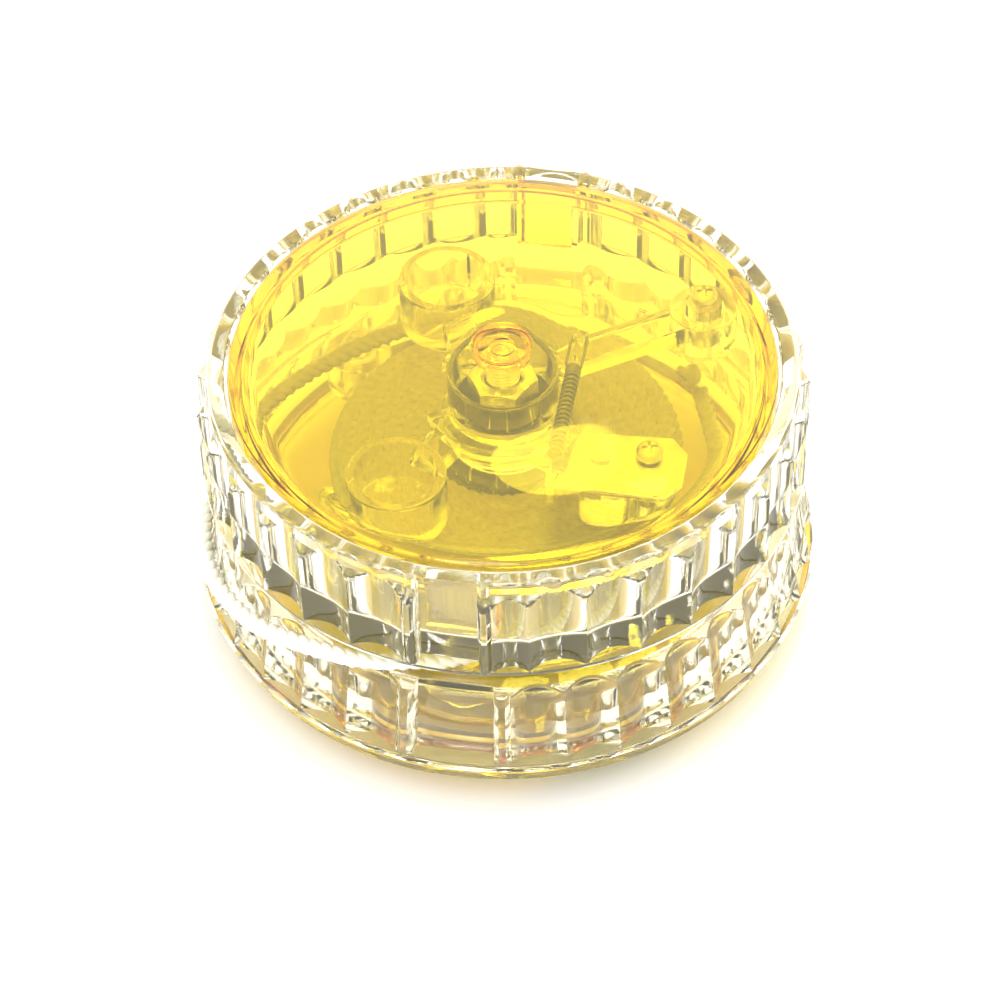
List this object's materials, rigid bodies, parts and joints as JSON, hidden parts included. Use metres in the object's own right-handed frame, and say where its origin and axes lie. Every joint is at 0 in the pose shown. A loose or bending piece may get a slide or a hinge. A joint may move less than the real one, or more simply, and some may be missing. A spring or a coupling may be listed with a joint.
{
  "type": "yo-yo",
  "caption": "Clear fluted clutch yo-yo with yellow see-through domed caps, a bolted spindle, spring-held clutch arms and a wound cotton string.",
  "frame": {"origin": "middle of the lower cap's flat land, which the yo-yo rests on", "axes": "+Z along the axle, out through the upper cap; -Y out of the fluted wall 10.5 degrees beside the flat windows, on the side where the loose string comes out at -X"},
  "size_m": [0.0596, 0.0598, 0.0318],
  "materials": {
    "clear_plastic": "clear polished moulded plastic",
    "yellow_plastic": "see-through yellow polished moulded plastic",
    "bright_steel": "bright zinc-plated steel",
    "dark_steel": "dark blued steel with fine scratches",
    "spring_steel": "drawn spring wire",
    "cotton_string": "twisted white cotton"
  },
  "bodies": {
    "lower_half": {"lower_shell": "clear_plastic", "lower_cap": "yellow_plastic", "lower_front_pivot_screw": "bright_steel", "lower_back_pivot_screw": "bright_steel", "lower_clutch_spring": "spring_steel"},
    "spindle": {"axle_bolt": "bright_steel", "string_sleeve": "dark_steel", "upper_drum": "clear_plastic", "lower_drum": "clear_plastic", "upper_nut": "bright_steel", "lower_nut": "bright_steel", "upper_washer": "dark_steel", "lower_washer": "dark_steel", "string_winding": "cotton_string", "string_tail": "cotton_string", "string_knot": "cotton_string"},
    "upper_half": {"upper_shell": "clear_plastic", "upper_cap": "yellow_plastic", "upper_front_pivot_screw": "bright_steel", "upper_back_pivot_screw": "bright_steel", "upper_clutch_spring": "spring_steel"},
    "upper_front_clutch": {"upper_front_arm": "clear_plastic", "upper_lever_plate": "bright_steel", "upper_lever_rivet": "bright_steel"},
    "upper_back_clutch": {"upper_back_arm": "clear_plastic"},
    "lower_front_clutch": {"lower_front_arm": "clear_plastic", "lower_lever_plate": "bright_steel", "lower_lever_rivet": "bright_steel"},
    "lower_back_clutch": {"lower_back_arm": "clear_plastic"}
  },
  "joints": [
    {"name": "lower_half_spin", "type": "hinge", "parent": "lower_half", "child": "spindle", "pos_m": [0, 0, 0.0159], "axis": [0, 0, 1], "continuous": true},
    {"name": "upper_half_spin", "type": "hinge", "parent": "spindle", "child": "upper_half", "pos_m": [0, 0, 0.0159], "axis": [0, 0, 1], "continuous": true},
    {"name": "upper_front_clutch_pivot", "type": "hinge", "parent": "upper_half", "child": "upper_front_clutch", "pos_m": [0.01308, -0.00954, 0.0222], "axis": [0, 0, 1], "range_deg": [0, 6], "stiffness_Nm_per_rad": 0.02, "springref_deg": -22.92, "deforming": ["upper_clutch_spring"]},
    {"name": "upper_back_clutch_pivot", "type": "hinge", "parent": "upper_half", "child": "upper_back_clutch", "pos_m": [0.01913, 0.01049, 0.0222], "axis": [0, 0, -1], "range_deg": [0, 6], "stiffness_Nm_per_rad": 0.02, "springref_deg": -22.92, "deforming": ["upper_clutch_spring"]},
    {"name": "lower_front_clutch_pivot", "type": "hinge", "parent": "lower_half", "child": "lower_front_clutch", "pos_m": [-0.01563, -0.00422, 0.0096], "axis": [0, 0, -1], "range_deg": [0, 6], "stiffness_Nm_per_rad": 0.02, "springref_deg": -22.92, "deforming": ["lower_clutch_spring"]},
    {"name": "lower_back_clutch_pivot", "type": "hinge", "parent": "lower_half", "child": "lower_back_clutch", "pos_m": [-0.0141, 0.01665, 0.0096], "axis": [0, 0, 1], "range_deg": [0, 6], "stiffness_Nm_per_rad": 0.02, "springref_deg": -22.92, "deforming": ["lower_clutch_spring"]}
  ]
}
